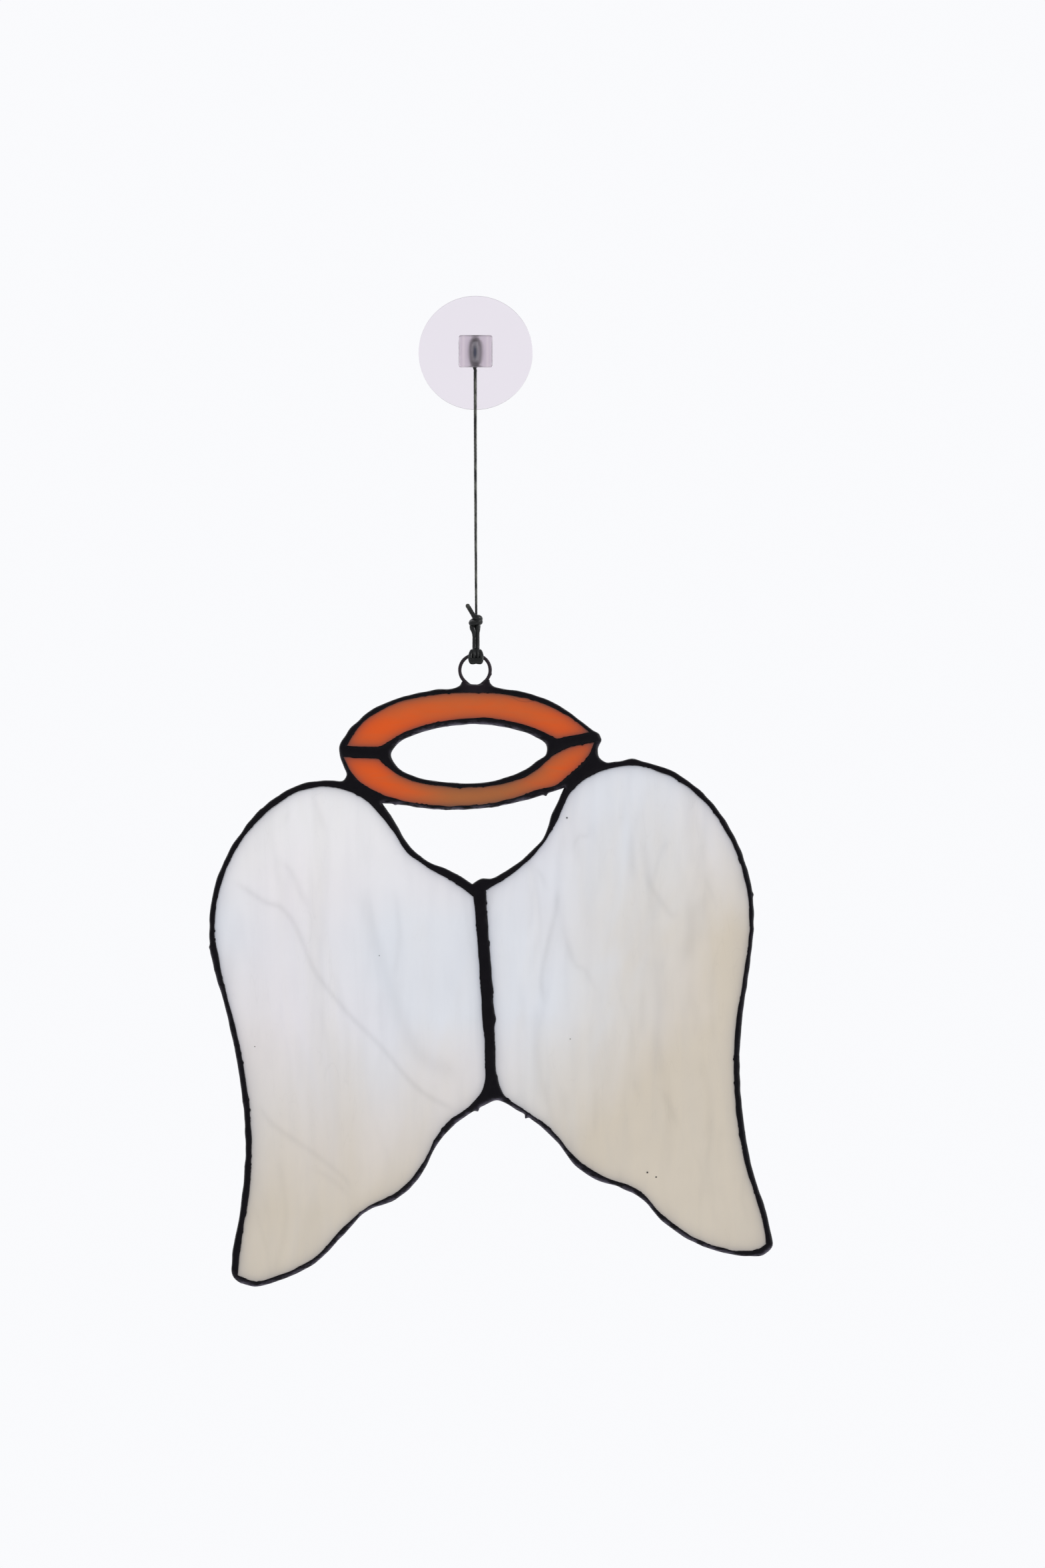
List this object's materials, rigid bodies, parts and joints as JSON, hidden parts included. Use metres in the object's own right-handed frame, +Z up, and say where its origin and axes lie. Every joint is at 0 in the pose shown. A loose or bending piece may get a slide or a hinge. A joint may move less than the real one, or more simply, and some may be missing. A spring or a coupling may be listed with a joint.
{
  "type": "stained glass suncatcher",
  "caption": "Leaded glass suncatcher: a pair of milky wings under an open orange halo, hung by a knotted cord from a clear round window hanger.",
  "frame": {"origin": "centre of the hanger disc's flat back face, which sticks to the window", "axes": "+Y out of the hanger's back face into the window, so the room side is -Y; +Z up; +X to the right as seen from the room"},
  "size_m": [0.1577, 0.0075, 0.2778],
  "materials": {
    "white_glass": "smooth milky white sheet glass with faint grey wisps, lets light through",
    "orange_glass": "smooth streaky orange sheet glass, lets light through",
    "solder": "black patina over solder on copper foil, satin, slightly uneven",
    "ring_wire": "dark patina over round wire",
    "clear_plastic": "clear moulded plastic with a faint lavender tone",
    "cord": "twisted dark waxed cord"
  },
  "bodies": {
    "root": {"left_wing_glass": "white_glass", "right_wing_glass": "white_glass", "halo_upper_glass": "orange_glass", "halo_lower_glass": "orange_glass", "solder_lattice": "solder", "hanging_ring": "ring_wire", "window_hanger": "clear_plastic", "cord_line": "cord", "cord_knot": "cord", "cord_hitch": "cord"}
  },
  "joints": []
}
